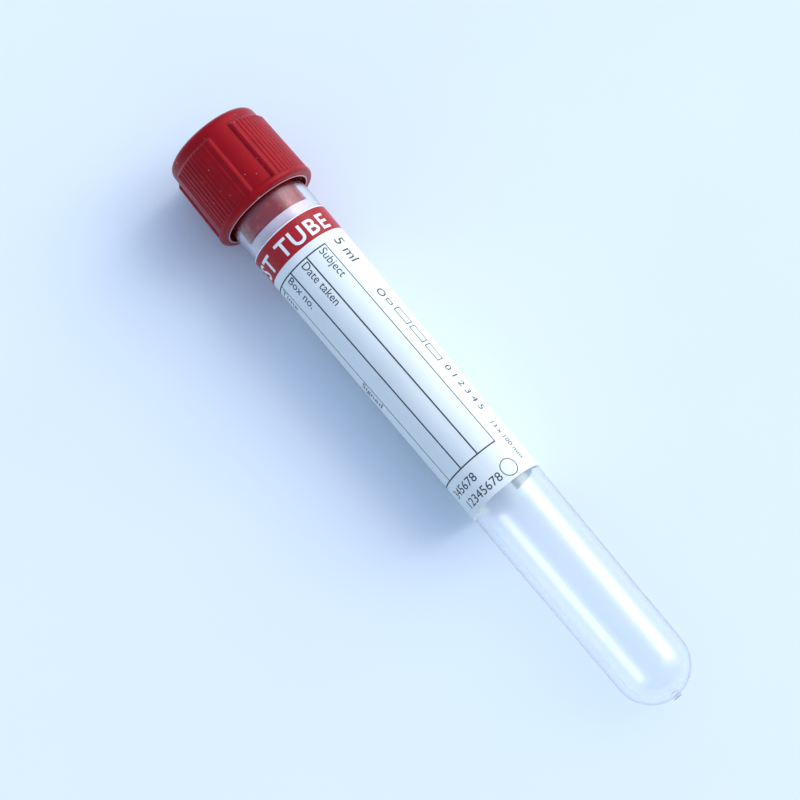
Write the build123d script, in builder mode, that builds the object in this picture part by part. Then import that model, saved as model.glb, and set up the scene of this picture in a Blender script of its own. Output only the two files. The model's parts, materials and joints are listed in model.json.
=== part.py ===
from build123d import *

import os
from math import asin, atan2, cos, hypot, radians, sin, tan

# Blood collection tube of the 13 x 100 mm size, closed with a twist-off cap and lying on a
# flat surface. Lengths are in millimetres and angles in degrees.
#
# Every piece is round about the tube's axis. Its outline is drawn as (radius, depth), where
# depth runs along that axis from the tube's mouth, at 0, to its round end, and is negative
# above the mouth. The tube lies with its round end towards +X, and it rests on the rim of
# the cap and on the round end, so its axis leans a little and no size below is level.

# Tube
tube_length = 100.0  # mouth to round end
tube_mouth_diameter = 13.1  # outside
tube_draft = 0.51  # taper of each side towards the round end
tube_wall = 1.05
mouth_edge = 0.3  # rounding of the mouth's two edges
gate_diameter = 1.3  # mark left by the mould at the round end
gate_height = 0.25

# Label, a paper wrap with a clear window left under the tube
label_start = 12.3  # depth of its upper edge
label_length = 50.0
label_thickness = 0.1
label_wrap = 300.0

# Stopper
plug_depth = 10.3
plug_clearance = 0.04  # radial, to the tube's bore
plug_chamfer = 0.4
flange_thickness = 3.0
flange_overhang = 0.45  # flange past the tube's mouth
seat_clearance = 0.02  # flange to mouth
dish_margin = 0.8  # from the web's hole in to the well for the needle
dish_depth = 2.1
hollow_diameter = 5.0  # relief in the underside
hollow_depth = 3.2

# Cap shell
skirt_depth = 7.1  # skirt below the mouth
skirt_gap = 0.55  # skirt to tube
skirt_wall = 0.9
cap_draft = 1.3  # the shell widens towards its rim
cap_overhang = 6.9  # top of the cap above the mouth
crown_round = 1.0  # rounding of the top edge
rim_projection = 0.5
rim_height = 1.0
rim_flare = 0.45  # length of the slope from the channel floor out to the rim
rim_round = 0.55
lip_chamfer = 0.3
bead_overlap = 0.3  # bead that lifts the flange
bead_height = 0.5
cap_clearance = 0.05  # cap to flange
web_thickness = 1.15  # web that holds the stopper down
web_reach = 2.5  # web over the flange

# Grip pads on the cap shell
pad_count = 4
pad_start = 1.9  # below the top of the cap
pad_height = 0.44
pad_bevel = 0.7  # sloped upper end
channel_angle = 28.0  # between the crests of two pads
pad_flank_angle = 4.0
land_angle = 5.0  # plain strip at each side of a pad
rib_count = 10
groove_depth = 0.17
groove_share = 0.6  # groove's share of the rib pitch

# Colour ring in the top of the cap
ring_wall = 1.5  # cap shell around the ring
ring_width = 1.4
ring_sink = 0.5  # ring below the top of the cap
ring_chamfer = 0.35

# Sizes that follow from those above
mouth_radius = tube_mouth_diameter / 2
gate_radius = gate_diameter / 2
end_radius = (mouth_radius * cos(radians(tube_draft)) - tube_length * sin(radians(tube_draft))) / (
    1 - sin(radians(tube_draft))
)
end_centre = tube_length - end_radius
skirt_bore = mouth_radius + skirt_gap
rim_radius = skirt_bore + skirt_wall + rim_projection
flange_radius = mouth_radius + flange_overhang
pocket_radius = flange_radius + cap_clearance
flange_top = -seat_clearance - flange_thickness
web_bottom = flange_top - cap_clearance
web_top = web_bottom - web_thickness
web_hole_radius = flange_radius - web_reach
cap_top = -cap_overhang
pad_top = cap_top + pad_start
pad_end = skirt_depth - rim_height


def tube_radius(depth):
    """Outside radius of the tube's tapered wall."""
    return mouth_radius - depth * tan(radians(tube_draft))


def bore_radius(depth):
    return tube_radius(depth) - tube_wall / cos(radians(tube_draft))


def channel_radius(depth):
    """Radius of the cap shell's smooth outside, between the grip pads."""
    return skirt_bore + skirt_wall - (skirt_depth - depth) * tan(radians(cap_draft))


# The lean at which both the rim's rounding and the round end touch the floor
rim_centre_radius = rim_radius - rim_round
rim_centre = skirt_depth - rim_round
contact_span = end_centre - rim_centre
lean = atan2(rim_centre_radius, contact_span) + asin(
    (rim_round - end_radius) / hypot(contact_span, rim_centre_radius)
)
crown_centre_radius = channel_radius(cap_top) - crown_round
cap_reach = (cap_overhang - crown_round) * cos(lean) + crown_centre_radius * sin(lean) + crown_round
gate_reach = (tube_length + gate_height) * cos(lean) + gate_radius * sin(lean)
mouth_x = (cap_reach - gate_reach) / 2
mouth_z = end_centre * sin(lean) + end_radius

# The plane of the mouth, square to the tube's axis, with local X up
across = Plane(
    origin=(mouth_x, 0, mouth_z),
    x_dir=(sin(lean), 0, cos(lean)),
    z_dir=(cos(lean), 0, -sin(lean)),
)
tube_axis = Axis(across.origin, across.z_dir)


def section_at(angle):
    """Half plane with local X as radius and local Y as depth, turned about the axis from straight up."""
    radial = across.x_dir.rotate(Axis((0, 0, 0), across.z_dir), angle)
    return Plane(origin=across.origin, x_dir=radial, z_dir=radial.cross(across.z_dir))


section = section_at(0)


with BuildPart() as tube:
    wall_end = end_radius - tube_wall
    with BuildSketch(section):
        with BuildLine():
            outer_end = CenterArc((0, end_centre), end_radius, tube_draft, 90 - tube_draft)
            inner_end = CenterArc((0, end_centre), wall_end, tube_draft, 90 - tube_draft)
            Line(outer_end @ 1, inner_end @ 1)
            Polyline(
                outer_end @ 0,
                (mouth_radius, 0),
                (bore_radius(0), 0),
                inner_end @ 0,
            )
        make_face()
    revolve(axis=tube_axis)
    fillet(tube.edges().filter_by(GeomType.CIRCLE).sort_by(tube_axis)[:2], mouth_edge)
    with BuildSketch(across.offset(tube_length - tube_wall / 2)):
        Circle(gate_radius)
    extrude(amount=tube_wall / 2 + gate_height)


with BuildPart() as label:
    label_end = label_start + label_length
    with BuildSketch(section_at(-label_wrap / 2)):
        with BuildLine():
            Polyline(
                (tube_radius(label_start), label_start),
                (tube_radius(label_start) + label_thickness, label_start),
                (tube_radius(label_end) + label_thickness, label_end),
                (tube_radius(label_end), label_end),
                close=True,
            )
        make_face()
    revolve(axis=tube_axis, revolution_arc=label_wrap)


with BuildPart() as stopper:
    dish_radius = web_hole_radius - dish_margin
    hollow_radius = hollow_diameter / 2
    hollow_centre = plug_depth - hollow_depth + hollow_radius
    with BuildSketch(section):
        with BuildLine():
            hollow_end = CenterArc((0, hollow_centre), hollow_radius, -90, 90)
            Polyline(
                hollow_end @ 0,
                (0, flange_top + dish_depth),
                (dish_radius, flange_top + dish_depth),
                (dish_radius, flange_top),
                (flange_radius, flange_top),
                (flange_radius, -seat_clearance),
                (bore_radius(0) - plug_clearance, -seat_clearance),
                (bore_radius(plug_depth) - plug_clearance, plug_depth),
                (hollow_radius, plug_depth),
                hollow_end @ 1,
            )
        make_face()
    revolve(axis=tube_axis)
    plug_edge = stopper.edges().filter_by(GeomType.CIRCLE).sort_by(tube_axis).last
    chamfer(plug_edge, plug_chamfer)


with BuildPart() as grip_pads:
    # crest, flanks and ribs of one pad, as points round the axis
    pad_angle = 360 / pad_count - channel_angle
    rib_pitch = (pad_angle - 2 * land_angle) / rib_count

    def pad_outline(centre, depth):
        crest = channel_radius(depth) + pad_height
        root = channel_radius(depth) - skirt_wall / 2
        groove_angle = groove_share * rib_pitch
        points = [(0, 0), (root, -pad_angle / 2 - pad_flank_angle), (crest, -pad_angle / 2)]
        for rib in range(rib_count):
            middle = -pad_angle / 2 + land_angle + (rib + 0.5) * rib_pitch
            points += [
                (crest, middle - groove_angle / 2),
                (crest - groove_depth, middle),
                (crest, middle + groove_angle / 2),
            ]
        points += [(crest, pad_angle / 2), (root, pad_angle / 2 + pad_flank_angle)]
        return [
            (radius * cos(radians(centre + angle)), radius * sin(radians(centre + angle)))
            for radius, angle in points
        ]

    for pad in range(pad_count):
        pad_centre = (pad + 0.5) * 360 / pad_count
        for pad_depth in (pad_top, pad_end):
            with BuildSketch(across.offset(pad_depth)):
                with BuildLine():
                    Polyline(*pad_outline(pad_centre, pad_depth), close=True)
                make_face()
        loft(ruled=True)
    # the envelope slopes the upper ends of the pads and keeps their roots within the shell's wall
    root_radius = (max(pocket_radius, skirt_bore) + channel_radius(pad_top)) / 2
    with BuildSketch(section):
        with BuildLine():
            Polyline(
                (root_radius, pad_top),
                (channel_radius(pad_top), pad_top),
                (channel_radius(pad_top + pad_bevel) + pad_height, pad_top + pad_bevel),
                (rim_radius + pad_height, pad_end),
                (root_radius, pad_end),
                close=True,
            )
        make_face()
    revolve(axis=tube_axis, mode=Mode.INTERSECT)


with BuildPart() as cap_shell:
    ring_seat_radius = channel_radius(cap_top) - ring_wall
    bead_radius = flange_radius - bead_overlap
    bead_top = cap_clearance
    rim_top = skirt_depth - rim_height
    with BuildSketch(section):
        with BuildLine():
            Polyline(
                (channel_radius(cap_top), cap_top),
                (channel_radius(rim_top - rim_flare), rim_top - rim_flare),
                (rim_radius, rim_top),
                (rim_radius, skirt_depth),
                (skirt_bore, skirt_depth),
                (skirt_bore, bead_top + bead_height),
                (bead_radius, bead_top + bead_height),
                (bead_radius, bead_top),
                (pocket_radius, bead_top),
                (pocket_radius, web_bottom),
                (web_hole_radius, web_bottom),
                (web_hole_radius, web_top),
                (ring_seat_radius, web_top),
                (ring_seat_radius, cap_top),
                close=True,
            )
        make_face()
    revolve(axis=tube_axis)
    circles = cap_shell.edges().filter_by(GeomType.CIRCLE)
    crown_edge = circles.filter_by(lambda edge: edge.radius > ring_seat_radius).sort_by(tube_axis).first
    rim_edge = circles.sort_by(tube_axis)[-2:].sort_by(SortBy.RADIUS).last
    lip_edge = circles.sort_by(tube_axis)[-2:].sort_by(SortBy.RADIUS).first
    fillet(crown_edge, crown_round)
    fillet(rim_edge, rim_round)
    chamfer(lip_edge, lip_chamfer)
    add(grip_pads.part)


with BuildPart() as cap_ring:
    ring_hole_radius = ring_seat_radius - ring_width
    with BuildSketch(section):
        with BuildLine():
            Polyline(
                (ring_hole_radius, web_top),
                (ring_seat_radius, web_top),
                (ring_seat_radius, cap_top + ring_sink),
                (ring_hole_radius, cap_top + ring_sink),
                close=True,
            )
        make_face()
    revolve(axis=tube_axis)
    ring_edges = cap_ring.edges().filter_by(GeomType.CIRCLE).sort_by(tube_axis)[:2]
    chamfer(ring_edges.sort_by(SortBy.RADIUS).first, ring_chamfer)


tube.part.label = "tube"
label.part.label = "label"
stopper.part.label = "stopper"
cap_shell.part.label = "cap_shell"
cap_ring.part.label = "cap_ring"

os.makedirs("parts", exist_ok=True)
export_step(tube.part, "parts/tube.step")
export_step(label.part, "parts/label.step")
export_step(stopper.part, "parts/stopper.step")
export_step(cap_shell.part, "parts/cap_shell.step")
export_step(cap_ring.part, "parts/cap_ring.step")
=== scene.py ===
import json
from math import ceil, cos, pi, radians, sin, tan

import bmesh
import bpy
from bpy.props import FloatProperty, FloatVectorProperty, IntProperty, PointerProperty
from bpy.types import Operator, Panel, PropertyGroup
from mathutils import Matrix, Vector


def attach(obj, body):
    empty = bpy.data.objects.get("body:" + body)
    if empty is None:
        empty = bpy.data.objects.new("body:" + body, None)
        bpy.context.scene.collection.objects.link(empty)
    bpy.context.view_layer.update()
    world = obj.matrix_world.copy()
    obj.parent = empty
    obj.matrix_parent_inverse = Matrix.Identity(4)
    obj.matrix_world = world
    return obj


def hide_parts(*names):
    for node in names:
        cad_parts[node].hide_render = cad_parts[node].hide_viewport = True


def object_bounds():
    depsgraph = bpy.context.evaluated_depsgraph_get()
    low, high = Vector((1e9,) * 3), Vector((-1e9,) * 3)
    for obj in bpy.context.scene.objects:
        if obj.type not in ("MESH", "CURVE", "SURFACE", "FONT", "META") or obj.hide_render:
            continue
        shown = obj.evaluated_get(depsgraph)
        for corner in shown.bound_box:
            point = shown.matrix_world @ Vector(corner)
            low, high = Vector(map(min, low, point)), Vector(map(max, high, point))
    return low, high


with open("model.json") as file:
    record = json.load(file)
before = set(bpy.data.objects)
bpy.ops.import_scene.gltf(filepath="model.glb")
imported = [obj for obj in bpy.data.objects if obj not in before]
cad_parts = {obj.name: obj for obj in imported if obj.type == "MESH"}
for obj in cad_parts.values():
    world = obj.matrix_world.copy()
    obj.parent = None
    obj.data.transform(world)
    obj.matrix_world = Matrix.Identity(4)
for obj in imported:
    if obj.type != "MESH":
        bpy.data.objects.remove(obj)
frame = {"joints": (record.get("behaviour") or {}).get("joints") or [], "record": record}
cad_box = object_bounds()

bl_info = {
    "name": "Blood Collection Tube",
    "version": (1, 0, 0),
    "blender": (4, 5, 0),
    "location": "3D View > Sidebar > Tube",
    "description": "Finishes a stoppered blood collection tube around its packed solids",
    "category": "Add Mesh",
}

MM = 0.001

# The tube's axis. Places on every piece are given by their depth below the tube's mouth,
# their radius, and their angle round the axis, from straight up towards +Y.
TWIST = next(joint for joint in frame["joints"] if joint["name"] == "cap_twist")
MOUTH = Vector(TWIST["pos_m"])
DOWN = -Vector(TWIST["axis"]).normalized()
SIDE = Vector((0, 1, 0))
UP = DOWN.cross(SIDE)


def at(depth, radius, turn):
    """A place on or in the object."""
    return MOUTH + DOWN * depth + (UP * cos(turn) + SIDE * sin(turn)) * radius


def clamp(value):
    return min(max(value, 0.0), 1.0)


def ease(value):
    """Goes smoothly from 0 to 1 as value does."""
    share = clamp(value)
    return share * share * (3 - 2 * share)


# ---------------------------------------------------------------- sizes and colours


def number(name, value, text, **settings):
    return FloatProperty(name=name, description=text, default=value, **settings)


def size(name, millimetres, text):
    return number(name, millimetres * MM, text, min=0, precision=5, unit="LENGTH")


def angle(name, degrees, text):
    return number(name, radians(degrees), text, subtype="ANGLE", unit="ROTATION")


def position(name, millimetres, text):
    default = [value * MM for value in millimetres]
    settings = {"size": 3, "precision": 5, "subtype": "TRANSLATION", "unit": "LENGTH"}
    return FloatVectorProperty(name=name, description=text, default=default, **settings)


def colour(name, value, text):
    settings = {"size": 3, "min": 0, "max": 1, "subtype": "COLOR"}
    return FloatVectorProperty(name=name, description=text, default=value, **settings)


class TubeSizes(PropertyGroup):
    """Sizes and colours of the clear tube and the film in it"""

    length: size("Length", 100, "From the mouth to the round end")
    mouth_radius: size("Mouth radius", 6.55, "Outside radius at the mouth")
    draft: angle("Draft", 0.51, "Taper of each side towards the round end")
    wall: size("Wall", 1.05, "Thickness of the wall")
    mouth_round: size("Mouth rounding", 0.3, "Rounding of the mouth's edges")
    gate_radius: size("Gate radius", 0.65, "Radius of the mark at the round end")
    gate_height: size("Gate height", 0.25, "Height of the mark at the round end")
    thread_height: size("Thread height", 0.36, "Height of the ridges under the cap")
    tint: colour("Plastic", (0.985, 0.995, 1.0), "Colour of the clear plastic")
    film_start: size("Film start", 10.45, "Depth where the dried film on the bore begins")
    film_dense: size("Film dense", 12.45, "Depth where the film begins to fade")
    film_faded: size("Film faded", 16.7, "Depth where the film has faded out")
    film_end: size("Film end", 17.0, "Depth where the film ends")
    film_gap: size("Film gap", 0.01, "Clearance between the film and the bore")
    film_thickness: size("Film thickness", 0.01, "Thickness of the film")
    film: colour("Film", (0.97, 0.87, 0.94), "Colour of the film")


class LabelSizes(PropertyGroup):
    """Sizes and colours of the label and its print"""

    start: size("Start", 12.3, "Depth of the upper edge")
    length: size("Length", 50, "Height of the label")
    thickness: size("Thickness", 0.1, "Thickness of the paper")
    wrap: angle("Wrap", 300, "Angle that the paper covers, centred on straight up")
    margin: size("Band margin", 0.18, "Bare paper above the coloured band")
    band: size("Band", 4.25, "Height of the coloured band")
    lean: angle("Print lean", 1.0, "Slant of the printed rules, which are not quite in line with the tube")
    paper: colour("Paper", (0.80, 0.86, 0.805), "Colour of the paper")
    red: colour("Band ink", (0.39, 0.008, 0.014), "Colour of the band")
    black: colour("Line ink", (0.035, 0.045, 0.06), "Colour of the rules and captions")


class StopperSizes(PropertyGroup):
    """Sizes and colours of the rubber stopper"""

    plug_depth: size("Plug depth", 10.3, "Reach of the plug into the tube")
    plug_gap: size("Plug gap", 0.04, "Clearance between the plug and the bore")
    plug_chamfer: size("Plug chamfer", 0.4, "Slope at the plug's end")
    flange_radius: size("Flange radius", 7.0, "Radius of the flange")
    flange_thickness: size("Flange thickness", 3.0, "Thickness of the flange")
    seat: size("Flange seat", 0.02, "Clearance between the flange and the mouth")
    well_radius: size("Well radius", 3.7, "Radius of the well for the needle")
    well_depth: size("Well depth", 2.1, "Depth of the well for the needle")
    hollow_radius: size("Hollow radius", 2.5, "Radius of the hollow in the underside")
    hollow_depth: size("Hollow depth", 3.2, "Depth of the hollow in the underside")
    edge_round: size("Edge rounding", 0.3, "Rounding of the outer edges")
    # Painted shade: above these depths the plug's top, under the cap's lip, is darkened towards the shaded
    # colour, fading out between them
    shade_fade_start: size("Loose end", 7.7, "Depth where the plug begins to press on the wall")
    shade_fade_end: size("Pressed start", 8.5, "Depth from where it presses in full")
    rubber: colour("Rubber", (0.26, 0.001, 0.004), "Colour of the pressed rubber")
    shaded_rubber: colour("Dull rubber", (0.13, 0.012, 0.016), "Colour of the rubber above that")


class CapSizes(PropertyGroup):
    """Sizes and colours of the cap shell"""

    overhang: size("Overhang", 6.9, "Top of the cap above the mouth")
    skirt_depth: size("Skirt depth", 7.1, "Lip of the cap below the mouth")
    skirt_bore: size("Skirt bore", 7.1, "Inside radius of the skirt")
    skirt_wall: size("Skirt wall", 0.9, "Thickness of the skirt")
    draft: angle("Draft", 1.3, "Slope of the outside towards the rim")
    crown_round: size("Top rounding", 1.0, "Rounding of the top edge")
    rim_radius: size("Rim radius", 8.5, "Outside radius of the rim")
    rim_height: size("Rim height", 1.0, "Height of the rim")
    rim_flare: size("Rim flare", 0.45, "Length of the slope out to the rim")
    rim_round: size("Rim rounding", 0.55, "Rounding of the rim's lower edge")
    lip_slope: size("Lip slope", 0.08, "Slope at the skirt's inner edge")
    bead_radius: size("Bead radius", 6.7, "Inside radius of the bead under the flange")
    pocket_radius: size("Pocket radius", 7.05, "Radius of the pocket for the flange")
    pocket_top: size("Pocket top", 3.07, "Height of the web's underside above the mouth")
    web_thickness: size("Web thickness", 1.15, "Thickness of the web over the flange")
    web_radius: size("Web radius", 4.5, "Radius of the web's hole")
    ring_wall: size("Ring wall", 1.5, "Thickness of the wall round the colour ring")
    pad_start: size("Pad start", 1.9, "Pads below the top of the cap")
    pad_height: size("Pad height", 0.44, "Height of the pads above the channels")
    pad_bevel: size("Pad bevel", 0.7, "Sloped upper end of a pad")
    channel_angle: angle("Channel", 28, "Angle between the crests of two pads")
    flank_angle: angle("Flank", 2, "Width of a pad's flank")
    land_angle: angle("Land", 5, "Plain strip at each side of a pad")
    pad_count: IntProperty(name="Pads", description="Number of grip pads", default=4, min=1)
    rib_count: IntProperty(name="Grooves", description="Number of grooves in a pad", default=10, min=1)
    groove_depth: size("Groove depth", 0.1, "Depth of the grooves")
    groove_share: number("Groove share", 0.6, "Groove's share of the pitch")
    thread_height: size("Thread height", 0.34, "Height of the ridges inside the skirt")
    lip_bead: size("Lip bead", 0.13, "Height and width of the fine bead round the skirt's mouth")
    pad_bead: size("Pad bead", 0.1, "Height of the rounded bead along a pad's edges")
    plastic: colour("Plastic", (0.28, 0.003, 0.006), "Colour of the cap")
    # Pale colour of the specks, and of the painted highlight along the skirt's lip
    specks_and_highlight: colour("Rubbed plastic", (0.8, 0.62, 0.6), "Colour of the cap's specks and its rubbed lip")


class RingSizes(PropertyGroup):
    """Sizes and colours of the ring in the top of the cap"""

    width: size("Width", 1.4, "Radial width of the ring")
    sink: size("Sink", 0.5, "Ring below the top of the cap")
    slope: size("Slope", 0.35, "Slope at the inner edge")
    plastic: colour("Plastic", (0.03, 0.03, 0.034), "Colour of the ring")
    specks_and_highlight: colour("Rubbed plastic", (0.3, 0.3, 0.3), "Colour of the ring's specks")


class StageSettings(PropertyGroup):
    """Floor, light and camera"""

    floor: colour("Floor", (0.77, 0.85, 0.89), "Colour of the floor")
    sky: colour("Sky", (0.54, 0.68, 1.0), "Colour of the light from all round")
    sky_level: number("Sky level", 0.84, "Strength of the light from all round")
    window: colour("Window", (1.0, 0.97, 0.95), "Colour of the window's light")
    window_power: number("Window power", 148.0, "Power of the window's light", unit="POWER")
    window_place: position("Window place", (195, 2385, 1950), "Window's middle, from the object's middle")
    window_width: size("Window width", 4050, "Width of a full pane of the window")
    window_height: size("Window height", 3300, "Height of a full pane of the window")
    azimuth: angle("Azimuth", 46.01, "Camera's side of the object; 0 looks along +Y")
    elevation: angle("Elevation", 71.64, "Camera above the horizon")
    roll: angle("Roll", 5.14, "Camera's turn about its own line of sight")
    distance: size("Distance", 362.23, "Camera to the point that it looks at")
    aim: position("Aim", (-4.853, -2.923, 6.0), "Point that the camera looks at")
    lens: number("Lens", 111.99, "Camera's focal length in millimetres")
    sensor: number("Sensor", 36.0, "Width of the camera's sensor in millimetres")


class TubePart(PropertyGroup):
    """Everything about the part that a user may set"""

    tube: PointerProperty(type=TubeSizes)
    label: PointerProperty(type=LabelSizes)
    stopper: PointerProperty(type=StopperSizes)
    cap: PointerProperty(type=CapSizes)
    ring: PointerProperty(type=RingSizes)
    stage: PointerProperty(type=StageSettings)


# ---------------------------------------------------------------- shaders


class Term:
    """A shader socket that stands in Python expressions, each of which adds its Math node."""

    def __init__(self, finish, socket):
        self.finish = finish
        self.socket = socket

    def math(self, operation, *terms):
        return self.finish.node("ShaderNodeMath", {"operation": operation}, dict(enumerate(terms)))

    def __add__(self, other):
        return self.math("ADD", self, other)

    def __sub__(self, other):
        return self.math("SUBTRACT", self, other)

    def __rsub__(self, other):
        return self.math("SUBTRACT", other, self)

    def __mul__(self, other):
        return self.math("MULTIPLY", self, other)

    __radd__ = __add__
    __rmul__ = __mul__

    def above(self, low, high):
        """0 below low, 1 above high, and smooth between them."""
        settings = {"interpolation_type": "SMOOTHSTEP"}
        values = {"Value": self, "From Min": low, "From Max": high}
        return self.finish.node("ShaderNodeMapRange", settings, values)


class Finish:
    """A material, or the world, whose nodes are added one call at a time."""

    def __init__(self, owner):
        self.owner = owner
        owner.use_nodes = True
        self.tree = owner.node_tree
        self.tree.nodes.clear()

    def node(self, kind, settings=None, values=None, output=0):
        made = self.tree.nodes.new(kind)
        for key, value in (settings or {}).items():
            setattr(made, key, value)
        for key, value in (values or {}).items():
            if isinstance(value, Term):
                self.tree.links.new(value.socket, made.inputs[key])
            elif made.inputs[key].type == "RGBA":
                made.inputs[key].default_value = (*value, 1)
            else:
                made.inputs[key].default_value = value
        return Term(self, made.outputs[output]) if made.outputs else None

    def place(self):
        """Position on the piece, in metres."""
        return self.node("ShaderNodeTexCoord", output="Object")

    def depth(self):
        """Depth below the tube's mouth, in metres."""
        offset = self.vector_math("SUBTRACT", self.place(), MOUTH)
        return self.vector_math("DOT_PRODUCT", offset, DOWN, output=1)

    def vector_math(self, operation, first, second, output=0):
        return self.node("ShaderNodeVectorMath", {"operation": operation}, {0: first, 1: second}, output)

    def noise(self, grain, detail, roughness=0.5):
        """Noise from 0 to 1 whose features are about grain metres wide."""
        values = {"Vector": self.place(), "Scale": 1 / grain, "Detail": detail, "Roughness": roughness}
        return self.node("ShaderNodeTexNoise", {"noise_dimensions": "3D"}, values)

    def mix(self, share, first, second):
        """first where share is 0, and second where it is 1."""
        settings = {"data_type": "RGBA", "clamp_factor": True}
        return self.node("ShaderNodeMix", settings, {0: share, 6: first, 7: second}, output=2)

    def bump(self, height, distance, strength):
        values = {"Height": height, "Distance": distance, "Strength": strength}
        return self.node("ShaderNodeBump", None, values)

    def surface(self, **values):
        sockets = {key.replace("_", " "): value for key, value in values.items()}
        return self.node("ShaderNodeBsdfPrincipled", None, sockets)

    def done(self, shader, kind="ShaderNodeOutputMaterial"):
        self.node(kind, None, {"Surface": shader})
        return self.owner


def new_finish(name):
    return Finish(bpy.data.materials.new(name))


# Share of each colour of light that gets through one side of the clear wall
WALL_PASSES = (0.965, 0.975, 0.985)


def clear_plastic(tint):
    """Moulded clear plastic with faint hazy patches. Lamps shine through it."""
    finish = new_finish("clear_plastic")
    haze = finish.noise(grain=0.6 * MM, detail=3.0)
    plastic = finish.surface(
        Base_Color=tint,
        Roughness=0.1 + 0.05 * haze.above(0.5, 0.8),
        IOR=1.57,
        Transmission_Weight=1.0,
    )
    passing = finish.node("ShaderNodeBsdfTransparent", None, {"Color": WALL_PASSES})
    shader = plastic
    for ray in ("Is Shadow Ray", "Is Diffuse Ray"):
        share = finish.node("ShaderNodeLightPath", output=ray)
        shader = finish.node("ShaderNodeMixShader", None, {0: share, 1: shader, 2: passing})
    return finish.done(shader)


def dried_film(tint, dense_end, faded):
    """Thin milky film, densest near the mouth, that fades out between two depths."""
    finish = new_finish("bore_film")
    cloud = finish.noise(grain=1.2 * MM, detail=3.0)
    dense = 1 - finish.depth().above(dense_end, faded)
    alpha = (0.42 + 0.12 * cloud) * dense
    return finish.done(finish.surface(Base_Color=tint, Roughness=0.6, Alpha=alpha))


def paper(tint):
    """Coated white paper with a fine tooth."""
    finish = new_finish("label_paper")
    cloud = finish.noise(grain=9 * MM, detail=2.0)
    fibre = finish.noise(grain=0.12 * MM, detail=3.0)
    shaded = [0.955 * channel for channel in tint]
    return finish.done(
        finish.surface(
            Base_Color=finish.mix(cloud.above(0.35, 0.75), tint, shaded),
            Roughness=0.42 + 0.12 * fibre,
            Specular_IOR_Level=0.45,
            Normal=finish.bump(fibre, distance=0.006 * MM, strength=0.5),
        )
    )


def ink(name, tint, roughness):
    """Printing ink, a little uneven where the paper shows through."""
    finish = new_finish(name)
    speckle = finish.noise(grain=0.18 * MM, detail=2.0)
    lighter = [channel + 0.05 for channel in tint]
    return finish.done(
        finish.surface(
            Base_Color=finish.mix(speckle.above(0.55, 0.8), tint, lighter),
            Roughness=roughness + 0.1 * speckle,
            Specular_IOR_Level=0.3,
            Normal=finish.bump(speckle, distance=0.004 * MM, strength=0.4),
        )
    )


NOWHERE = 1.0  # a depth past the whole object


def moulded(name, tint, pale, roughness, highlight_from=NOWHERE):
    """Moulded opaque plastic, faintly mottled, with pale specks, and a painted highlight in the pale colour
    below one depth.
    """
    finish = new_finish(name)
    mottle = finish.noise(grain=2.2 * MM, detail=3.0)
    tooth = finish.noise(grain=0.16 * MM, detail=2.0)
    specks = finish.noise(grain=0.5 * MM, detail=1.0).above(0.765, 0.8)
    deeper = [0.84 * channel for channel in tint]
    worn = finish.mix(mottle.above(0.35, 0.7), tint, deeper)
    # Painted highlight: below this depth the plastic turns towards the pale colour
    specks_and_highlight = finish.depth().above(highlight_from, highlight_from + 0.05 * MM)
    return finish.done(
        finish.surface(
            Base_Color=finish.mix(specks * 0.55 + specks_and_highlight * 0.6, worn, pale),
            Roughness=roughness + 0.16 * (mottle - 0.5) + 0.25 * specks,
            Specular_IOR_Level=0.9,
            Specular_Tint=(1.0, 0.12, 0.15),
            Subsurface_Weight=0.1,
            Subsurface_Radius=(1.0, 0.15, 0.1),
            Subsurface_Scale=0.7 * MM,
            Normal=finish.bump(tooth + 0.6 * mottle, distance=0.018 * MM, strength=0.45),
        )
    )


def rubber(tint, shaded_rubber, shade_fade_start, shade_fade_end):
    """Soft red rubber, blotched where it presses on the tube's wall, and darkened above that by painted
    shade under the cap's lip.
    """
    finish = new_finish("stopper_rubber")
    blotch = finish.noise(grain=1.3 * MM, detail=4.0, roughness=0.6)
    tooth = finish.noise(grain=0.2 * MM, detail=2.0)
    pressed = [min(1.0, 1.9 * channel + 0.03) for channel in tint]
    mottled = finish.mix(blotch.above(0.48, 0.68), tint, pressed)
    # Painted shade under the cap's lip, fading out between the two depths
    lip_shade = 1 - (finish.depth() + 0.6 * MM * blotch).above(shade_fade_start, shade_fade_end)
    return finish.done(
        finish.surface(
            Base_Color=finish.mix(lip_shade * 0.75, mottled, shaded_rubber),
            Roughness=0.5 + 0.25 * blotch,
            Specular_IOR_Level=0.0,
            Normal=finish.bump(tooth, distance=0.01 * MM, strength=0.4),
        )
    )


def floor_sheet(tint):
    """Plain smooth sheet."""
    finish = new_finish("floor_sheet")
    cloud = finish.noise(grain=60 * MM, detail=3.0)
    tooth = finish.noise(grain=0.9 * MM, detail=3.0)
    shaded = [0.975 * channel for channel in tint]
    return finish.done(
        finish.surface(
            Base_Color=finish.mix(cloud.above(0.35, 0.7), tint, shaded),
            Roughness=0.85,
            Specular_IOR_Level=0.2,
            Normal=finish.bump(tooth, distance=0.02 * MM, strength=0.3),
        )
    )


# ---------------------------------------------------------------- outlines and meshes

ON_AXIS = 1e-6  # a point with less radius than this lies on the axis
ROUNDING_STEP = radians(15)  # most that a rounding turns from point to point
SHARP_EDGE = radians(38)  # an edge that turns more than this is shaded sharp

# Facets round each piece
CAP_COLUMNS = 720
TUBE_COLUMNS = 480
PLAIN_COLUMNS = 224
FILM_COLUMNS = 192


def arc(centre_depth, centre_radius, radius, first, last, steps):
    """Points round a centre. At angle 0 they are straight out from the axis, at 90 degrees deeper."""
    turns = [first + (last - first) * step / steps for step in range(steps + 1)]
    return [(centre_depth + radius * sin(turn), centre_radius + radius * cos(turn)) for turn in turns]


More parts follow.
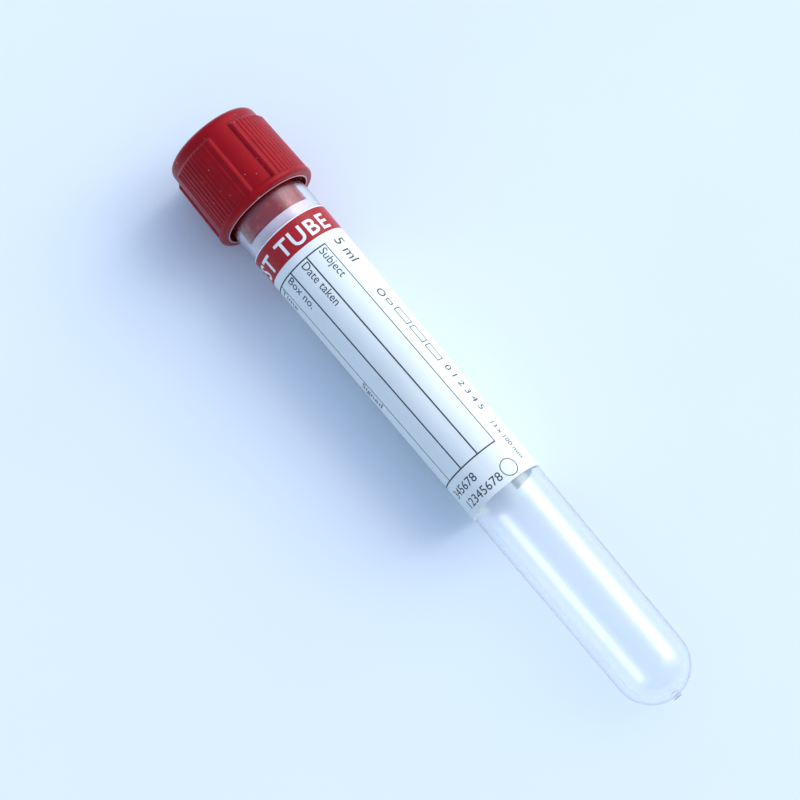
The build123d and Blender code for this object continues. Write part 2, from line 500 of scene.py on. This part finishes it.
def rounded(corners):
    """An outline of (depth, radius) points through corners of (depth, radius, rounding)."""
    points = []
    for index, (depth, radius, rounding) in enumerate(corners):
        corner = Vector((depth, radius))
        if not rounding:
            points.append(tuple(corner))
            continue
        before = (Vector(corners[index - 1][:2]) - corner).normalized()
        after = (Vector(corners[(index + 1) % len(corners)][:2]) - corner).normalized()
        half = before.angle(after) / 2
        centre = corner + (before + after).normalized() * rounding / sin(half)
        start = corner + before * rounding / tan(half) - centre
        turn = start.angle_signed(after * rounding / tan(half) + corner - centre)
        steps = max(2, ceil(abs(turn) / ROUNDING_STEP))
        for step in range(steps + 1):
            points.append(tuple(centre + Matrix.Rotation(-turn * step / steps, 2) @ start))
    return points


def between(first, last, step):
    """Points from first to last, both ends included, no more than step apart."""
    start, end = Vector(first), Vector(last)
    steps = max(1, ceil((end - start).length / step))
    return [tuple(start.lerp(end, index / steps)) for index in range(steps + 1)]


def turned(name, outline, columns, relief=None):
    """A closed piece round the axis. relief(depth, radius, angle) may change a point's radius."""
    mesh = bpy.data.meshes.new(name)
    shape = bmesh.new()
    rings = []
    for depth, radius in outline:
        if radius < ON_AXIS:
            rings.append([shape.verts.new(at(depth, 0, 0))])
            continue
        ring = []
        for column in range(columns):
            turn = 2 * pi * column / columns
            reach = relief(depth, radius, turn) if relief else radius
            ring.append(shape.verts.new(at(depth, reach, turn)))
        rings.append(ring)
    # An outline that doesn't start on the axis closes on itself, and a ring on the axis is one point
    pairs = list(zip(rings, rings[1:]))
    if len(rings[0]) > 1:
        pairs.append((rings[-1], rings[0]))
    for first, second in pairs:
        for column in range(columns):
            after = (column + 1) % columns
            corners = [first[column % len(first)], first[after % len(first)]]
            corners += [second[after % len(second)], second[column % len(second)]]
            if len(first) == 1:
                corners.pop(1)
            if len(second) == 1:
                corners.pop()
            shape.faces.new(corners)
    return finished(mesh, shape)


def finished(mesh, shape):
    """An object from a shape, smooth but for its sharp edges."""
    bmesh.ops.recalc_face_normals(shape, faces=shape.faces)
    shape.to_mesh(mesh)
    shape.free()
    mesh.shade_smooth()
    mesh.set_sharp_from_angle(angle=SHARP_EDGE)
    piece = bpy.data.objects.new(mesh.name, mesh)
    bpy.context.scene.collection.objects.link(piece)
    return piece


def dress(piece, material, body, slot, *nodes):
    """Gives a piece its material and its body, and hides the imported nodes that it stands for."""
    piece.data.materials.append(material)
    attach(piece, body)
    if nodes:
        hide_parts(*nodes)


# Screw thread: ridges of the cap and the tube lie between each other on one coarse helix
THREAD_LEAD = 2 * pi / frame["record"]["behaviour"]["couplings"][0]["ratio"]
THREAD_STARTS = 2
THREAD_WIDTH = 1.1 * MM
THREAD_FADE = 0.5 * MM
THREAD_FLANKS = 1.6  # steepness of a ridge's sides

# First and last depth of the ridges on the tube's neck and inside the cap
NECK_THREAD = (0.8 * MM, 5.4 * MM)
CAP_THREAD = (1.1 * MM, 6.3 * MM)


def thread_ridge(depth, turn, reach, shift=0.0):
    """Share of its full height that a ridge has at one place. shift moves it by that many pitches."""
    start, end = reach
    pitch = THREAD_LEAD / THREAD_STARTS
    offset = (depth + turn / (2 * pi) * THREAD_LEAD + shift * pitch + pitch / 2) % pitch - pitch / 2
    across = ease(THREAD_FLANKS * (1 - 2 * abs(offset) / THREAD_WIDTH))
    return across * ease((depth - start) / THREAD_FADE) * ease((end - depth) / THREAD_FADE)


# ---------------------------------------------------------------- the tube


def tube_radius(sizes, depth):
    return sizes.mouth_radius - depth * tan(sizes.draft)


def bore_radius(sizes, depth):
    return tube_radius(sizes, depth) - sizes.wall / cos(sizes.draft)


def end_radius(sizes):
    """Radius of the round end, which meets both the taper and the full length."""
    lean = sin(sizes.draft)
    return (sizes.mouth_radius * cos(sizes.draft) - sizes.length * lean) / (1 - lean)


class TUBE_PART_OT_tube(Operator):
    """Add the clear tube with its round end, gate mark and neck thread"""

    bl_idname = "tube_part.tube"
    bl_label = "Tube"

    def execute(self, context):
        sizes = context.scene.tube_part.tube
        outer_end = end_radius(sizes)
        inner_end = outer_end - sizes.wall
        centre = sizes.length - outer_end

        # The gate mark and the round end
        gate_top = sizes.length + sizes.gate_height
        gate_edge = 0.12 * MM
        gate_dimple = 0.06 * MM
        gate_turn = pi / 2 - sizes.gate_radius / outer_end
        outline = [(gate_top - gate_dimple, 0)]
        outline += arc(gate_top - gate_edge, sizes.gate_radius - gate_edge, gate_edge, pi / 2, 0, steps=4)
        outline += arc(centre, 0, outer_end, gate_turn, sizes.draft, steps=40)

        # The side, whose points stand close together where the thread's ridges are
        side_end = sizes.length - 10 * MM
        plain_step = 12 * MM
        plain_side = (side_end, 6 * MM, plain_step)
        thread_side = (5.6 * MM, 0.6 * MM, 0.12 * MM)
        for first, last, step in (plain_side, thread_side):
            ends = [(depth, tube_radius(sizes, depth)) for depth in (first, last)]
            outline += between(*ends, step)

        # The mouth and the bore
        edge = sizes.mouth_round
        outline += arc(edge, sizes.mouth_radius - edge, edge, 0, -pi / 2, steps=6)
        outline += arc(edge, bore_radius(sizes, 0) + edge, edge, -pi / 2, -pi, steps=6)
        bore = [(depth, bore_radius(sizes, depth)) for depth in (2 * MM, side_end)]
        outline += between(*bore, plain_step)
        outline += arc(centre, 0, inner_end, sizes.draft, pi / 2, steps=36)
        outline[-1] = (outline[-1][0], 0)

        def neck(depth, radius, turn):
            outside = radius > tube_radius(sizes, depth) - 0.01 * MM
            if not (outside and NECK_THREAD[0] < depth < NECK_THREAD[1]):
                return radius
            return radius + sizes.thread_height * thread_ridge(depth, turn, NECK_THREAD)

        piece = turned("tube_body", outline, TUBE_COLUMNS, neck)
        dress(piece, clear_plastic(sizes.tint), "tube", "clear_plastic", "tube")
        return {"FINISHED"}


class TUBE_PART_OT_film(Operator):
    """Add the dried film on the tube's bore, under the stopper"""

    bl_idname = "tube_part.film"
    bl_label = "Film"

    def execute(self, context):
        sizes = context.scene.tube_part.tube
        sheets = []
        for inset in (sizes.film_gap, sizes.film_gap + sizes.film_thickness):
            reach = (sizes.film_start, sizes.film_end)
            ends = [(depth, bore_radius(sizes, depth) - inset) for depth in reach]
            sheets.append(between(*ends, step=1 * MM))
        piece = turned("bore_film", sheets[0] + sheets[1][::-1], FILM_COLUMNS)
        material = dried_film(sizes.film, sizes.film_dense, sizes.film_faded)
        dress(piece, material, "tube", "clear_plastic")
        return {"FINISHED"}


# ---------------------------------------------------------------- the label and its print


def wrapped(name, shape, base, thickness):
    """A sheet laid round the tube. shape is flat: x is the angle round the axis, y the depth."""
    tube = bpy.context.scene.tube_part.tube
    top = bmesh.ops.extrude_face_region(shape, geom=shape.faces[:])["geom"]
    raised = {corner for corner in top if isinstance(corner, bmesh.types.BMVert)}
    for corner in shape.verts:
        radius = tube_radius(tube, corner.co.y) + base + thickness * (corner in raised)
        corner.co = at(corner.co.y, radius, corner.co.x)
    put_in_order(shape)
    return finished(bpy.data.meshes.new(name), shape)


def put_in_order(shape):
    """Lists the faces by their corners, because an extrusion lists them in a new order each time."""
    shape.verts.index_update()
    faces = sorted(shape.faces, key=lambda face: sorted(corner.index for corner in face.verts))
    for index, face in enumerate(faces):
        face.index = index
    shape.faces.sort()


def cut(shape, axis, step):
    """Cuts a flat shape across one axis at regular steps, so that it bends smoothly."""
    normal = Vector((axis == 0, axis == 1, 0))
    places = [corner.co[axis] for corner in shape.verts]
    for index in range(ceil(min(places) / step), int(max(places) // step) + 1):
        everything = shape.verts[:] + shape.edges[:] + shape.faces[:]
        bmesh.ops.bisect_plane(shape, geom=everything, plane_co=normal * index * step, plane_no=normal)


def bar(shape, left, right, top, bottom):
    """Adds a flat rectangle, between two angles and two depths."""
    corners = ((left, top), (left, bottom), (right, bottom), (right, top))
    shape.faces.new([shape.verts.new((x, y, 0)) for x, y in corners])


def outline_box(shape, left, right, top, bottom, line, reach):
    """Adds the four sides of a box, line metres wide, on a surface reach from the axis."""
    side = line / reach
    bar(shape, left, right, top, top + line)
    bar(shape, left, right, bottom - line, bottom)
    bar(shape, left, left + side, top + line, bottom - line)
    bar(shape, right - side, right, top + line, bottom - line)


HOOP_SIDES = 40


def hoop(shape, turn, depth, radius, line, reach):
    """Adds a flat ring, line metres wide."""
    outer, inner = [], []
    for rim, edge in ((outer, radius), (inner, radius - line)):
        for index in range(HOOP_SIDES):
            way = 2 * pi * index / HOOP_SIDES
            rim.append(shape.verts.new((turn + edge * cos(way) / reach, depth + edge * sin(way), 0)))
    for index in range(HOOP_SIDES):
        after = (index + 1) % HOOP_SIDES
        shape.faces.new([outer[index], outer[after], inner[after], inner[index]])


CAPITAL = 0.729  # height of a capital letter in a text of size 1


def words(shape, text, turn, depth, height, reach, along=False, align="LEFT", bold=0.0, spacing=1.0):
    """Adds a line of text that starts, or ends, at a place, and reads round the tube or along it."""
    curve = bpy.data.curves.new("words", "FONT")
    curve.body = text
    curve.align_x = align
    curve.size = height / CAPITAL
    curve.resolution_u = 3
    curve.offset = bold
    curve.space_character = spacing
    holder = bpy.data.objects.new("words", curve)
    letters = bpy.data.meshes.new_from_object(holder)
    flat = bmesh.new()
    flat.from_mesh(letters)
    bmesh.ops.remove_doubles(flat, verts=flat.verts, dist=1e-7)
    corners = {}
    for corner in flat.verts:
        x, y = corner.co.x, corner.co.y
        place = (turn + y / reach, depth + x, 0) if along else (turn + x / reach, depth - y, 0)
        corners[corner] = shape.verts.new(place)
    for face in flat.faces:
        shape.faces.new([corners[corner] for corner in face.verts])
    flat.free()
    bpy.data.objects.remove(holder)
    bpy.data.meshes.remove(letters)
    bpy.data.curves.remove(curve)


GLUE_DEPTH = 0.003 * MM
PRINT_GAP = 0.002 * MM
PRINT_THICKNESS = 0.008 * MM
LABEL_STEP = radians(1.25)
PRINT_STEP = radians(2)
PRINT_STEP_DOWN = 2 * MM


class TUBE_PART_OT_label(Operator):
    """Add the paper label and its coloured band"""

    bl_idname = "tube_part.label"
    bl_label = "Label"

    def execute(self, context):
        sizes = context.scene.tube_part.label
        half = sizes.wrap / 2
        band_top = sizes.start + sizes.margin

        sheet = bmesh.new()
        bar(sheet, -half, half, sizes.start, sizes.start + sizes.length)
        cut(sheet, 0, LABEL_STEP)
        piece = wrapped("label_sheet", sheet, -GLUE_DEPTH, sizes.thickness + GLUE_DEPTH)
        dress(piece, paper(sizes.paper), "tube", "label_paper", "label")

        band = bmesh.new()
        bar(band, -half, half, band_top, band_top + sizes.band)
        cut(band, 0, LABEL_STEP)
        piece = wrapped("label_band", band, sizes.thickness + PRINT_GAP, PRINT_THICKNESS)
        dress(piece, ink("band_ink", sizes.red, roughness=0.3), "tube", "label_paper")
        return {"FINISHED"}


# Print on the label. Its depths, heights and widths are in millimetres, and its angles in degrees.

# The ruled frame: first and last depth, angle of its right side, and its columns
FRAME_TOP, FRAME_BOTTOM = 18.1, 56.4
FRAME_RIGHT = 15.6
COLUMN_WIDTH, COLUMN_COUNT = 30.2, 5
WIDE_LINE, FINE_LINE = 0.21, 0.13
WIDE_RULES = (1, 2)
PRINT_MIDDLE = 37

# Captions: column of the frame and depth where they start. Their feet are CAPTION_DROP into the column.
CAPTION_HEIGHT, CAPTION_DROP = 1.3, 14.2
CAPTIONS = (
    (0, 18.55, "Subject"),
    (1, 18.6, "Date taken"),
    (2, 18.6, "Box no."),
    (3, 18.6, "Time"),
    (3, 37, "Signed"),
)

# Lines of text along the tube: angle, depth where they start, and height of a capital
SIDE_TEXTS = (
    (29.5, 18.2, 1.9, "5 ml"),
    (33, 43, 1.4, "0 1 2 3 4 5"),
    (31, 53.4, 0.95, "13 x 100 mm"),
)

# Lines of text round the tube: angle where they end, and depth of their baseline
FOOT_HEIGHT = 1.45
FOOT_TEXTS = ((-36.5, 59.0, "345678"), (-9.8, 61.4, "12345678"))

# Circles: angle and depth of the middle, radius, and width of the line
CIRCLES = ((34, 28.8, 0.7, 0.2), (5.6, 60.5, 1.38, 0.13))

# Boxes: first and last angle, and first and last depth
BOXES = (
    (31, 37, 30.0, 31.2),
    (31, 43, 31.9, 34.9),
    (31, 43, 35.4, 38.4),
    (31, 43, 38.9, 41.9),
)

# Lettering on the band: angle where it ends, depth of its baseline, and its form
LETTERING = "TEST TUBE"
LETTERING_END, LETTERING_BASE = 44.5, 16.15
LETTERING_HEIGHT, LETTERING_BOLD, LETTERING_SPACING = 2.65, 0.07, 1.14


def print_reach():
    """Radius of the label at the middle of its print, which turns widths into angles."""
    part = bpy.context.scene.tube_part
    return tube_radius(part.tube, PRINT_MIDDLE * MM) + part.label.thickness


def printed(name, shape, base):
    """Slants a flat print and lays it on the label."""
    sizes = bpy.context.scene.tube_part.label
    reach = print_reach()
    for corner in shape.verts:
        corner.co.x += (corner.co.y - FRAME_TOP * MM) * tan(sizes.lean) / reach
    cut(shape, 0, PRINT_STEP)
    cut(shape, 1, PRINT_STEP_DOWN)
    return wrapped(name, shape, sizes.thickness + base, PRINT_THICKNESS)


class TUBE_PART_OT_print(Operator):
    """Add the label's ruled frame, captions, digits and band lettering"""

    bl_idname = "tube_part.print"
    bl_label = "Label print"

    def execute(self, context):
        sizes = context.scene.tube_part.label
        reach = print_reach()

        black = bmesh.new()
        self.rule_frame(black, reach)
        for column, depth, text in CAPTIONS:
            foot = radians(FRAME_RIGHT - column * COLUMN_WIDTH - CAPTION_DROP)
            words(black, text, foot, depth * MM, CAPTION_HEIGHT * MM, reach, along=True)
        for turn, depth, height, text in SIDE_TEXTS:
            words(black, text, radians(turn), depth * MM, height * MM, reach, along=True)
        for turn, depth, text in FOOT_TEXTS:
            words(black, text, radians(turn), depth * MM, FOOT_HEIGHT * MM, reach, align="RIGHT")
        for turn, depth, radius, line in CIRCLES:
            hoop(black, radians(turn), depth * MM, radius * MM, line * MM, reach)
        for low, high, start, end in BOXES:
            ends = (start * MM, end * MM)
            outline_box(black, radians(low), radians(high), *ends, FINE_LINE * MM, reach)
        piece = printed("label_rules", black, PRINT_GAP)
        dress(piece, ink("line_ink", sizes.black, roughness=0.45), "tube", "label_paper")

        white = bmesh.new()
        words(
            white,
            LETTERING,
            radians(LETTERING_END),
            LETTERING_BASE * MM,
            LETTERING_HEIGHT * MM,
            reach,
            align="RIGHT",
            bold=LETTERING_BOLD * MM,
            spacing=LETTERING_SPACING,
        )
        piece = printed("band_lettering", white, 2 * PRINT_GAP + PRINT_THICKNESS)
        dress(piece, ink("white_ink", sizes.paper, roughness=0.4), "tube", "label_paper")
        return {"FINISHED"}

    def rule_frame(self, shape, reach):
        """Adds the frame and the rules between its columns."""
        right = radians(FRAME_RIGHT)
        left = right - COLUMN_COUNT * radians(COLUMN_WIDTH)
        top, bottom = FRAME_TOP * MM, FRAME_BOTTOM * MM
        wide, fine = WIDE_LINE * MM, FINE_LINE * MM
        bar(shape, left, right, top, top + wide)
        bar(shape, left, right, bottom - wide, bottom)
        for column in range(COLUMN_COUNT + 1):
            rule = right - column * radians(COLUMN_WIDTH)
            line = wide if column in WIDE_RULES else fine
            bar(shape, rule - line / reach, rule, top + wide, bottom - wide)


# ---------------------------------------------------------------- the stopper


class TUBE_PART_OT_stopper(Operator):
    """Add the rubber stopper, with the well for the needle and the hollow underneath"""

    bl_idname = "tube_part.stopper"
    bl_label = "Stopper"

    def execute(self, context):
        sizes = context.scene.tube_part.stopper
        tube = context.scene.tube_part.tube
        top = -sizes.seat - sizes.flange_thickness
        neck = bore_radius(tube, 0) - sizes.plug_gap
        foot = bore_radius(tube, sizes.plug_depth) - sizes.plug_gap
        slope_start = sizes.plug_depth - sizes.plug_chamfer
        hollow_centre = sizes.plug_depth - sizes.hollow_depth + sizes.hollow_radius
        edge = sizes.edge_round
        outline = rounded(
            [
                (top + sizes.well_depth, 0, 0),
                (top + sizes.well_depth, sizes.well_radius, edge),
                (top, sizes.well_radius, edge / 2),
                (top, sizes.flange_radius, edge),
                (-sizes.seat, sizes.flange_radius, edge / 2),
                (-sizes.seat, neck, edge / 3),
                (slope_start, bore_radius(tube, slope_start) - sizes.plug_gap, edge),
                (sizes.plug_depth, foot - sizes.plug_chamfer, edge),
                (sizes.plug_depth, sizes.hollow_radius, edge / 2),
                (hollow_centre, sizes.hollow_radius, 0),
            ]
        )
        outline += arc(hollow_centre, 0, sizes.hollow_radius, 0, -pi / 2, steps=16)[1:]
        outline[-1] = (outline[-1][0], 0)
        piece = turned("stopper_body", outline, PLAIN_COLUMNS)
        material = rubber(sizes.rubber, sizes.shaded_rubber, sizes.shade_fade_start, sizes.shade_fade_end)
        dress(piece, material, "stopper", "stopper_rubber", "stopper")
        return {"FINISHED"}


# ---------------------------------------------------------------- the cap


def channel_radius(sizes, depth):
    """Outside of the cap shell between its pads."""
    return sizes.skirt_bore + sizes.skirt_wall - (sizes.skirt_depth - depth) * tan(sizes.draft)


def grip_height(sizes, depth, turn):
    """Height of a ribbed pad above the channel floor at one place, or 0 off the pads."""
    spacing = 2 * pi / sizes.pad_count
    half = (spacing - sizes.channel_angle) / 2
    off_middle = turn % spacing - spacing / 2
    flank = ease((half + sizes.flank_angle - abs(off_middle)) / sizes.flank_angle)
    bevel = ease((depth + sizes.overhang - sizes.pad_start) / sizes.pad_bevel)

    # A rounded bead runs along the plain land at each side of the ribs
    ribbed = half - sizes.land_angle
    off_bead = abs(abs(off_middle) - (half + ribbed) / 2) * 2 / sizes.land_angle
    field = sizes.pad_height - sizes.pad_bead * (1 - ease(1.2 * (1 - off_bead)))

    # The whole part of groove is the groove's number, and the rest is the way across it
    groove = (off_middle + ribbed) / (2 * ribbed) * sizes.rib_count
    if 0 < groove < sizes.rib_count:
        field -= sizes.groove_depth * ease(1 - abs(groove % 1 - 0.5) * 2 / sizes.groove_share)
    return field * flank * bevel


class TUBE_PART_OT_cap_shell(Operator):
    """Add the cap shell with its grip pads, rim, web and inside thread"""

    bl_idname = "tube_part.cap_shell"
    bl_label = "Cap shell"

    def execute(self, context):
        sizes = context.scene.tube_part.cap
        ring_seat = channel_radius(sizes, -sizes.overhang) - sizes.ring_wall
        rim_top = sizes.skirt_depth - sizes.rim_height
        flare_top = rim_top - sizes.rim_flare
        pad_top = sizes.pad_start - sizes.overhang
        bevel_end = pad_top + sizes.pad_bevel
        edge, fine_edge, lip_edge = 0.12 * MM, 0.05 * MM, 0.04 * MM
        margin = 0.1 * MM
        thread_start, thread_end = CAP_THREAD

        def on_side(depth):
            return depth, channel_radius(sizes, depth)

        # Outside, from the top to the rim, with points close together at the pads' bevels
        crown_reach = channel_radius(sizes, -sizes.overhang) - sizes.crown_round
        crown_centre = sizes.crown_round - sizes.overhang
        outside = arc(crown_centre, crown_reach, sizes.crown_round, -pi / 2, 0, steps=9)
        outside += between(on_side(pad_top - 0.35 * MM), on_side(pad_top), step=0.2 * MM)
        outside += between(on_side(pad_top), on_side(bevel_end), step=0.09 * MM)[1:]
        outside += between(on_side(bevel_end + margin), on_side(flare_top - margin), step=2.4 * MM)
        outside += between(on_side(flare_top), (rim_top, sizes.rim_radius), step=0.08 * MM)

        # Rim and lip
        lip = sizes.skirt_bore + sizes.lip_slope
        face = sizes.skirt_depth - sizes.lip_bead
        lower = rounded(
            [
                (rim_top + margin, sizes.rim_radius, 0),
                (face, sizes.rim_radius, sizes.rim_round),
                (face, lip + 2 * sizes.lip_bead, 0.03 * MM),
                (sizes.skirt_depth, lip + sizes.lip_bead, lip_edge),
                (sizes.skirt_depth, lip, lip_edge),
                (sizes.skirt_depth - sizes.lip_slope, sizes.skirt_bore, fine_edge),
                (thread_end, sizes.skirt_bore, 0),
            ]
        )
        # Inside, from the lip to the top: thread, bead under the flange, pocket, web and ring seat
        bore_ends = [(depth, sizes.skirt_bore) for depth in (thread_end, thread_start)]
        bore = between(*bore_ends, step=0.14 * MM)[1:]
        bead_end, bead_start = 0.55 * MM, 0.05 * MM
        web_top = -sizes.pocket_top - sizes.web_thickness
        inside = rounded(
            [
                (thread_start, sizes.skirt_bore, 0),
                (bead_end, sizes.skirt_bore, margin),
                (bead_end, sizes.bead_radius, edge),
                (bead_start, sizes.bead_radius, edge),
                (bead_start, sizes.pocket_radius, fine_edge),
                (-sizes.pocket_top, sizes.pocket_radius, edge),
                (-sizes.pocket_top, sizes.web_radius, edge),
                (web_top, sizes.web_radius, edge),
                (web_top, ring_seat, fine_edge),
                (-sizes.overhang, ring_seat, edge),
            ]
        )[1:]

        # Pads on the outside, and ridges of the thread on the inside
        def relief(depth, radius, turn):
            if radius > sizes.skirt_bore + sizes.skirt_wall / 3 and pad_top < depth < rim_top:
                return max(radius, channel_radius(sizes, depth) + grip_height(sizes, depth, turn))
            if abs(radius - sizes.skirt_bore) < 0.001 * MM and thread_start < depth < thread_end:
                return radius - sizes.thread_height * thread_ridge(depth, turn, CAP_THREAD, shift=0.5)
            return radius

        piece = turned("cap_shell_body", outside + lower + bore + inside, CAP_COLUMNS, relief)
        # The thin bright line round the skirt's lip is a painted highlight in the pale colour
        highlight_from = sizes.skirt_depth - sizes.lip_slope
        material = moulded("cap_plastic", sizes.plastic, sizes.specks_and_highlight, 0.36, highlight_from)
        dress(piece, material, "cap", "cap_plastic", "cap_shell")
        return {"FINISHED"}


class TUBE_PART_OT_cap_ring(Operator):
    """Add the colour ring in the top of the cap"""

    bl_idname = "tube_part.cap_ring"
    bl_label = "Cap ring"

    def execute(self, context):
        cap = context.scene.tube_part.cap
        sizes = context.scene.tube_part.ring
        seat = channel_radius(cap, -cap.overhang) - cap.ring_wall
        hole = seat - sizes.width
        foot = -cap.pocket_top - cap.web_thickness
        top = sizes.sink - cap.overhang
        rim = seat - 0.01 * MM
        edge = 0.1 * MM
        outline = rounded(
            [
                (foot, hole, edge),
                (foot, rim, edge),
                (top, rim, edge),
                (top, hole + sizes.slope, edge),
                (top + sizes.slope, hole, edge),
            ]
        )
        piece = turned("cap_ring_body", outline, PLAIN_COLUMNS)
        material = moulded("ring_plastic", sizes.plastic, sizes.specks_and_highlight, 0.4)
        dress(piece, material, "cap", "ring_plastic", "cap_ring")
        return {"FINISHED"}


# ---------------------------------------------------------------- the stage


def lamp(name, place, target, width, height, power, tint):
    """A large soft lamp that faces a point."""
    light = bpy.data.lights.new(name, "AREA")
    light.shape = "RECTANGLE"
    light.size = width
    light.size_y = height
    light.energy = power
    light.color = tint
    holder = bpy.data.objects.new(name, light)
    holder.location = place
    holder.rotation_euler = (Vector(target) - Vector(place)).to_track_quat("-Z", "Y").to_euler()
    bpy.context.scene.collection.objects.link(holder)


# Sizes of the window's panes of light, as shares of a full pane. They overlap and give it soft edges.
WINDOW_PANES = (0.5, 0.8, 1.1, 1.4)
FLOOR_REACH = 3.0
FLOOR_DROP = 0.02 * MM


class TUBE_PART_OT_stage(Operator):
    """Add the floor, the light and the camera"""

    bl_idname = "tube_part.stage"
    bl_label = "Stage"

    def execute(self, context):
        settings = context.scene.tube_part.stage
        context.scene.view_settings.view_transform = "Standard"
        low, high = cad_box
        middle = (low + high) / 2

        shape = bmesh.new()
        bmesh.ops.create_grid(shape, x_segments=8, y_segments=8, size=FLOOR_REACH)
        floor = finished(bpy.data.meshes.new("floor"), shape)
        floor.location.z = low.z - FLOOR_DROP
        floor.data.materials.append(floor_sheet(settings.floor))

        studio = Finish(bpy.data.worlds.new("studio"))
        light = {"Color": settings.sky, "Strength": settings.sky_level}
        sky = studio.node("ShaderNodeBackground", None, light)
        context.scene.world = studio.done(sky, "ShaderNodeOutputWorld")

        place = middle + Vector(settings.window_place)
        power = settings.window_power / len(WINDOW_PANES)
        for share in WINDOW_PANES:
            width, height = settings.window_width * share, settings.window_height * share
            lamp("window", place, middle, width, height, power, settings.window)
        context.scene.camera = self.add_camera(settings)
        return {"FINISHED"}

    def add_camera(self, settings):
        camera = bpy.data.cameras.new("camera")
        camera.sensor_width = settings.sensor
        camera.lens = settings.lens
        camera.clip_start = 0.01
        holder = bpy.data.objects.new("camera", camera)
        bpy.context.scene.collection.objects.link(holder)
        flat = cos(settings.elevation)
        back = Vector((sin(settings.azimuth) * flat, -cos(settings.azimuth) * flat, sin(settings.elevation)))
        level = Vector((cos(settings.azimuth), sin(settings.azimuth), 0))
        right = Matrix.Rotation(settings.roll, 3, back) @ level
        view = Matrix((right, back.cross(right), back)).transposed().to_4x4()
        view.translation = Vector(settings.aim) + back * settings.distance
        holder.matrix_world = view
        return holder


class TUBE_PART_PT_panel(Panel):
    """Lists the pieces of the tube and the stage"""

    bl_idname = "TUBE_PART_PT_panel"
    bl_label = "Blood Collection Tube"
    bl_space_type = "VIEW_3D"
    bl_region_type = "UI"
    bl_category = "Tube"

    def draw(self, context):
        part = context.scene.tube_part
        for operator, sizes in (
            (TUBE_PART_OT_tube, part.tube),
            (TUBE_PART_OT_film, None),
            (TUBE_PART_OT_label, part.label),
            (TUBE_PART_OT_print, None),
            (TUBE_PART_OT_stopper, part.stopper),
            (TUBE_PART_OT_cap_shell, part.cap),
            (TUBE_PART_OT_cap_ring, part.ring),
            (TUBE_PART_OT_stage, part.stage),
        ):
            column = self.layout.column(align=True)
            column.operator(operator.bl_idname)
            for name in sizes.__annotations__ if sizes else ():
                column.prop(sizes, name)


CLASSES = (
    TubeSizes,
    LabelSizes,
    StopperSizes,
    CapSizes,
    RingSizes,
    StageSettings,
    TubePart,
    TUBE_PART_OT_tube,
    TUBE_PART_OT_film,
    TUBE_PART_OT_label,
    TUBE_PART_OT_print,
    TUBE_PART_OT_stopper,
    TUBE_PART_OT_cap_shell,
    TUBE_PART_OT_cap_ring,
    TUBE_PART_OT_stage,
    TUBE_PART_PT_panel,
)


def register():
    for item in CLASSES:
        bpy.utils.register_class(item)
    bpy.types.Scene.tube_part = PointerProperty(type=TubePart)


def unregister():
    del bpy.types.Scene.tube_part
    for item in reversed(CLASSES):
        bpy.utils.unregister_class(item)


def main():
    register()
    bpy.ops.tube_part.tube()
    bpy.ops.tube_part.film()
    bpy.ops.tube_part.label()
    bpy.ops.tube_part.print()
    bpy.ops.tube_part.stopper()
    bpy.ops.tube_part.cap_shell()
    bpy.ops.tube_part.cap_ring()
    bpy.ops.tube_part.stage()


if __name__ == "__main__":
    main()
